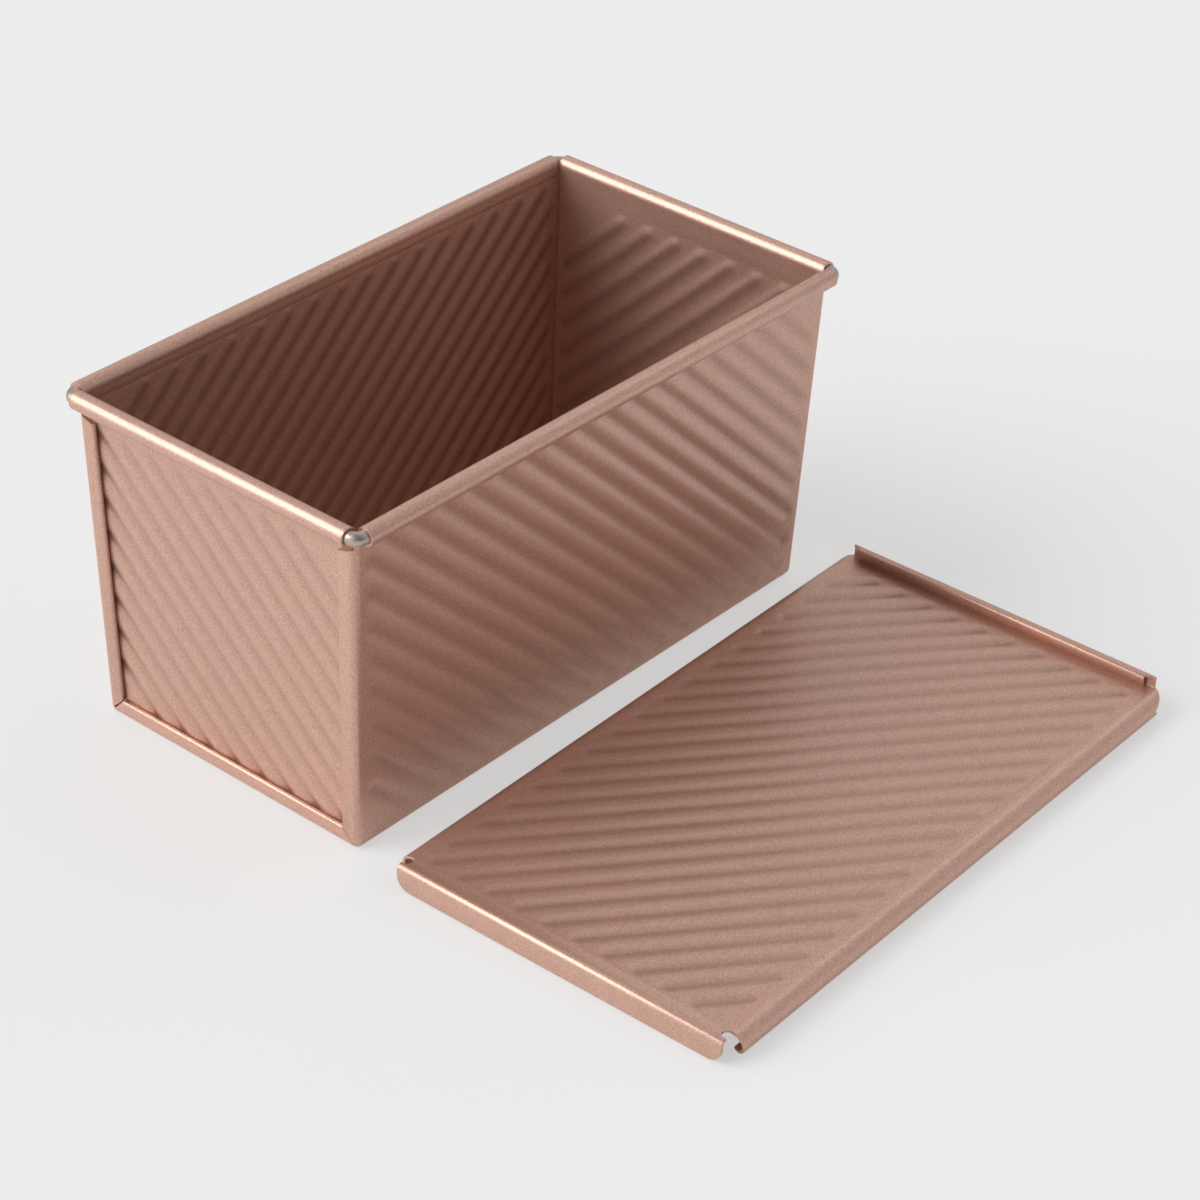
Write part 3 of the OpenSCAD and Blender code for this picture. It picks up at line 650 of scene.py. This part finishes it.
def rim_wire_tree():
    """A round wire, bent to a rectangle with round corners."""
    tree = bpy.data.node_groups.new("Rim wire", "GeometryNodeTree")
    names = {}
    for name, kind in (("Length", "Float"), ("Width", "Float"), ("Height", "Float"),
                       ("Bend Radius", "Float"), ("Wire Radius", "Float"), ("Material", "Material")):
        socket = tree.interface.new_socket(name, in_out="INPUT", socket_type="NodeSocket" + kind)
        names[name] = socket.identifier
    tree.interface.new_socket("Geometry", in_out="OUTPUT", socket_type="NodeSocketGeometry")
    give = tree.nodes.new("NodeGroupInput").outputs
    path = tree.nodes.new("GeometryNodeCurvePrimitiveQuadrilateral")
    tree.links.new(give["Length"], path.inputs[0])
    tree.links.new(give["Width"], path.inputs[1])
    bend = tree.nodes.new("GeometryNodeFilletCurve")
    bend.mode = "POLY"
    bend.inputs["Count"].default_value = 14
    tree.links.new(path.outputs[0], bend.inputs["Curve"])
    tree.links.new(give["Bend Radius"], bend.inputs["Radius"])
    ring = tree.nodes.new("GeometryNodeCurvePrimitiveCircle")
    ring.inputs["Resolution"].default_value = 28
    tree.links.new(give["Wire Radius"], ring.inputs["Radius"])
    draw = tree.nodes.new("GeometryNodeCurveToMesh")
    tree.links.new(bend.outputs[0], draw.inputs["Curve"])
    tree.links.new(ring.outputs[0], draw.inputs["Profile Curve"])
    lift = tree.nodes.new("GeometryNodeTransform")
    up = tree.nodes.new("ShaderNodeCombineXYZ")
    tree.links.new(give["Height"], up.inputs[2])
    tree.links.new(up.outputs[0], lift.inputs["Translation"])
    tree.links.new(draw.outputs[0], lift.inputs["Geometry"])
    realize = tree.nodes.new("GeometryNodeRealizeInstances")
    paint = tree.nodes.new("GeometryNodeSetMaterial")
    out = tree.nodes.new("NodeGroupOutput")
    tree.links.new(lift.outputs[0], realize.inputs[0])
    tree.links.new(realize.outputs[0], paint.inputs["Geometry"])
    tree.links.new(give["Material"], paint.inputs["Material"])
    tree.links.new(paint.outputs[0], out.inputs[0])
    return tree, names


def drawn_wire(name):
    """Bare drawn steel: a fine uneven grain and a satin sheen."""
    material = bpy.data.materials.new(name)
    material.use_nodes = True
    nodes, links = material.node_tree.nodes, material.node_tree.links
    shader = nodes["Principled BSDF"]
    where = nodes.new("ShaderNodeTexCoord").outputs["Object"]
    grain = nodes.new("ShaderNodeTexNoise")
    grain.inputs["Scale"].default_value = 1400.0
    grain.inputs["Detail"].default_value = 3.0
    links.new(where, grain.inputs["Vector"])
    tint = nodes.new("ShaderNodeMix")
    tint.data_type = "RGBA"
    tint.inputs["A"].default_value = (0.40, 0.35, 0.31, 1.0)
    tint.inputs["B"].default_value = (0.60, 0.53, 0.48, 1.0)
    links.new(grain.outputs["Fac"], tint.inputs["Factor"])
    links.new(tint.outputs["Result"], shader.inputs["Base Color"])
    gloss = nodes.new("ShaderNodeMapRange")
    gloss.inputs["To Min"].default_value = 0.36
    gloss.inputs["To Max"].default_value = 0.52
    links.new(grain.outputs["Fac"], gloss.inputs["Value"])
    links.new(gloss.outputs[0], shader.inputs["Roughness"])
    shader.inputs["Metallic"].default_value = 1.0
    return material


wire_radius = 2.1
wire_steel = drawn_wire("bare drawn wire")
wire = bpy.data.objects.new("bent_wire", bpy.data.meshes.new("bent_wire"))
bpy.context.scene.collection.objects.link(wire)
wire_tree, wire_input = rim_wire_tree()
bender = wire.modifiers.new("bending", "NODES")
bender.node_group = wire_tree
for name, value in (("Length", 2 * (inside_x + bead_radius) * MM),
                    ("Width", 2 * (inside_y + bead_radius) * MM), ("Height", rim_z * MM),
                    ("Bend Radius", bead_radius * MM), ("Wire Radius", wire_radius * MM),
                    ("Material", wire_steel)):
    bender[wire_input[name]] = value
wire.update_tag()
bpy.context.view_layer.update()
wire_mesh = bpy.data.meshes.new_from_object(wire.evaluated_get(bpy.context.evaluated_depsgraph_get()))
wire.modifiers.remove(bender)
wire.data = wire_mesh
for face in wire_mesh.polygons:
    face.use_smooth = True
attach(wire, "pan")
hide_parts("rim_wire")


# Sliding lid

# One pressed blank of 0.85 mm coated steel. Both long edges curl under to run on the pan's beads, the near
# end bends down as a stop, and the far end folds up into a hollow grip. It lies on its curls on the table.

# The lid's coat carries painted shade in its grooves.
lid_coat = coated_steel("champagne coat on the lid", 0.19)
lid_length, lid_width, lid_sheet = 219.0, 120.8, 0.85
curl_radius = 4.25
lid_top = 2 * curl_radius
curl_y = lid_width / 2 - curl_radius
lid_x, lid_y, lid_turn = 4.8, -126.05, math.radians(1.25)
lid_place = Matrix.Translation((lid_x * MM, lid_y * MM, 0)) @ Matrix.Rotation(lid_turn, 4, "Z")


def lid_shell():
    """The lid's upper face, from its stop flange to its folded grip."""
    shell = new_shell()
    end = lid_length / 2
    stop_bend, stop_half, stop_low, stop_round = 1.7, lid_width / 2 - 3.2, 0.6, 4.5
    curl_from, plate_from, plate_to = -end + 5.4, -end + 5.6, end - 5.2
    corner_round = 6.0
    curl_sweep, curl_steps, curl_cut = 190, 32, 3.0
    hollow_x = end - lid_sheet
    hem_bend = 0.5
    hem_start = hollow_x - hem_bend

    def at(x, y, z=lid_top):
        return Vector((x, y, z))

    field = rib_field({
        "Pitch": rib_pitch, "Slope": math.radians(40.5), "Phase": 0.0, "Half Width": 3.3, "Depth": 0.45,
        "Half Length": end - 6.4, "Widening": 0.0, "Bottom": -curl_y + 2.4, "Top": curl_y - 2.4,
        "End Gap": 0.2, "End Fade": 1.0, "Top Fade": 0.8, "Ribs": 32, "Lines": lines_per_rib,
        "End Rows": 12, "Row Step": 0.6}, lid_coat)
    ribbed_panel(shell, field, lambda u, v, h: at(u, v, lid_top + h),
                 [(plate_from, -curl_y), (plate_to, -curl_y), (plate_to, curl_y), (plate_from, curl_y)])

    # Curls along both sides, cut short round the far corners.
    for side in (-1, 1):
        rows = []
        for n, (y, z) in enumerate(arc(curl_y, curl_radius, curl_radius, 90, -curl_sweep, curl_steps)):
            past = max(0.0, y - (lid_width / 2 - corner_round))
            x_to = end - (corner_round - math.sqrt(max(0.0, corner_round ** 2 - past ** 2)))
            x_from = curl_from + curl_cut * (n / curl_steps) ** 2
            columns = (x_from, max(plate_from, x_from + 0.2), min(plate_to, x_to - 0.8),
                       min(hem_start, x_to - 0.4), x_to)
            rows.append([at(x, side * y, z) for x in columns])
        skin(shell, rows)

    # Stop end: notched corners, a bend and a flange with rounded corners.
    notch_end = -end + stop_bend + 0.4
    notch_round = (curl_from - notch_end) / 2
    notch = [(plate_from, curl_y)]
    for n in range(9):
        a = math.radians(180 * n / 8)
        notch.append((notch_end + notch_round * (1 + math.cos(a)),
                      curl_y - 0.9 * notch_round * math.sin(a)))
    notch += [(notch_end, stop_half), (-end + stop_bend, stop_half)]
    points = notch + [(x, -y) for x, y in reversed(notch)]
    shell.faces.new([shell.verts.new(at(x, y)) for x, y in points])
    stop_high = lid_top - stop_bend - 0.3
    bent = arc(-end + stop_bend, lid_top - stop_bend, stop_bend, 90, 90, 8)
    skin(shell, [[at(x, -stop_half, z), at(x, stop_half, z)] for x, z in bent + [(-end, stop_high)]])
    outline = [(-stop_half, stop_high)]
    outline += arc(-stop_half + stop_round, stop_low + stop_round, stop_round, 180, 90, 8)
    outline += [(-y, z) for y, z in reversed(outline)]
    shell.faces.new([shell.verts.new(at(-end, y, z)) for y, z in outline])

    # Grip end: up, over and down to the lid again, cut back slantwise at its ends.
    rows = [[at(plate_to, -curl_y), at(plate_to, curl_y)]]
    grip_height, grip_depth, grip_round, cut_back = 4.3, 3.4, 0.35, 2.9
    inner_top = lid_top + grip_height - lid_sheet
    front_x = end - grip_depth + lid_sheet
    foot = (end - 1.25, lid_top + 0.12)
    path = [(hem_start, lid_top)] + arc(hem_start, lid_top + hem_bend, hem_bend, -90, 90, 5, 1)
    path.append((hollow_x, inner_top - grip_round))
    path += arc(hollow_x - grip_round, inner_top - grip_round, grip_round, 0, 90, 4, 1)
    fold = len(path)
    path.append((front_x + grip_round, inner_top))
    path += arc(front_x + grip_round, inner_top - grip_round, grip_round, 90, 105, 4, 1)
    path.append(foot)
    for n, (x, z) in enumerate(path):
        back = 0.0 if n < fold else cut_back
        rows.append([at(x, -curl_y + back, z), at(x, curl_y - back, z)])
    skin(shell, rows)
    return shell


lid = steel_sheet(lid_shell(), "lid_sheet", lid_sheet, ((0, 0, lid_top), (0, 0, 1)),
                  (lid_coat, lid_coat), lid_place)
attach(lid, "lid")
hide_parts("sliding_lid")


# Table, light and camera

# A smooth pale table top under one key light and three softer ones, seen from the photograph's place.
# None of this is part of the pan, so the table is only staged for the picture.

table_reach = 6
table_corners = [(-table_reach, -table_reach, 0), (table_reach, -table_reach, 0),
                 (table_reach, table_reach, 0), (-table_reach, table_reach, 0)]
table_mesh = bpy.data.meshes.new("table")
table_mesh.from_pydata(table_corners, [], [(0, 1, 2, 3)])
table = bpy.data.objects.new("table", table_mesh)
bpy.context.scene.collection.objects.link(table)
table_paint = bpy.data.materials.new("pale table")
table_paint.use_nodes = True
table_nodes, table_links = table_paint.node_tree.nodes, table_paint.node_tree.links
table_top = table_nodes["Principled BSDF"]
table_top.inputs["Roughness"].default_value = 0.9
table_top.inputs["Specular IOR Level"].default_value = 0.1
table_top.inputs["Emission Color"].default_value = (1, 1, 1, 1)
ray = table_nodes.new("ShaderNodeLightPath").outputs
table_sum = node_maths(table_paint.node_tree)
seen_glow, mirrored_glow = 0.514, 0.28
seen = table_sum("MULTIPLY", ray["Is Camera Ray"], seen_glow)
mirrored = table_sum("MAXIMUM", ray["Is Glossy Ray"], ray["Is Transmission Ray"])
table_glow = table_sum("ADD", seen, table_sum("MULTIPLY", mirrored, mirrored_glow))
table_links.new(table_glow, table_top.inputs["Emission Strength"])
table_tone, seen_drop = 0.69, 0.34
table_grey = table_nodes.new("ShaderNodeCombineColor")
for channel in table_grey.inputs:
    darker = table_sum("MULTIPLY", ray["Is Camera Ray"], seen_drop)
    table_links.new(table_sum("SUBTRACT", table_tone, darker), channel)
table_links.new(table_grey.outputs[0], table_top.inputs["Base Color"])
table_mesh.materials.append(table_paint)

world = bpy.data.worlds.new("studio")
bpy.context.scene.world = world
world.use_nodes = True
sky = world.node_tree.nodes["Background"]
sky.inputs["Color"].default_value = (1, 1, 1, 1)
sky.inputs["Strength"].default_value = 0.10

for name, strength, spread, way in (
        ("key light from the back left", 2.45, 50, (0.60, -0.57, -0.57)),
        ("soft light from the left", 0.85, 70, (0.90, -0.10, -0.35)),
        ("soft light from the back right", 0.70, 75, (-0.56, -0.45, -0.70)),
        ("soft light from the front right", 0.74, 80, (-0.65, 0.53, -0.55))):
    lamp = bpy.data.lights.new(name, "SUN")
    lamp.energy = strength
    lamp.angle = math.radians(spread)
    holder = bpy.data.objects.new(name, lamp)
    holder.rotation_euler = Vector(way).to_track_quat("-Z", "Y").to_euler()
    bpy.context.scene.collection.objects.link(holder)

azimuth, elevation, roll = math.radians(50.843), math.radians(33.135), math.radians(2.279)
aim, distance = Vector((46.21, -16.75, 0)) * MM, 1.084
forward = Vector((math.cos(elevation) * math.sin(azimuth), math.cos(elevation) * math.cos(azimuth),
                  -math.sin(elevation)))
right = Vector((math.cos(azimuth), -math.sin(azimuth), 0))
up = right.cross(forward)
right, up = (math.cos(roll) * right + math.sin(roll) * up, -math.sin(roll) * right + math.cos(roll) * up)
eye = aim - forward * distance
lens = bpy.data.cameras.new("camera")
lens.lens = 102.25
lens.sensor_width = 36
lens.clip_start = 0.01
camera = bpy.data.objects.new("camera", lens)
camera.matrix_world = Matrix.Translation(eye) @ Matrix((right, up, -forward)).transposed().to_4x4()
bpy.context.scene.collection.objects.link(camera)
bpy.context.scene.camera = camera
bpy.context.scene.view_settings.view_transform = "Standard"
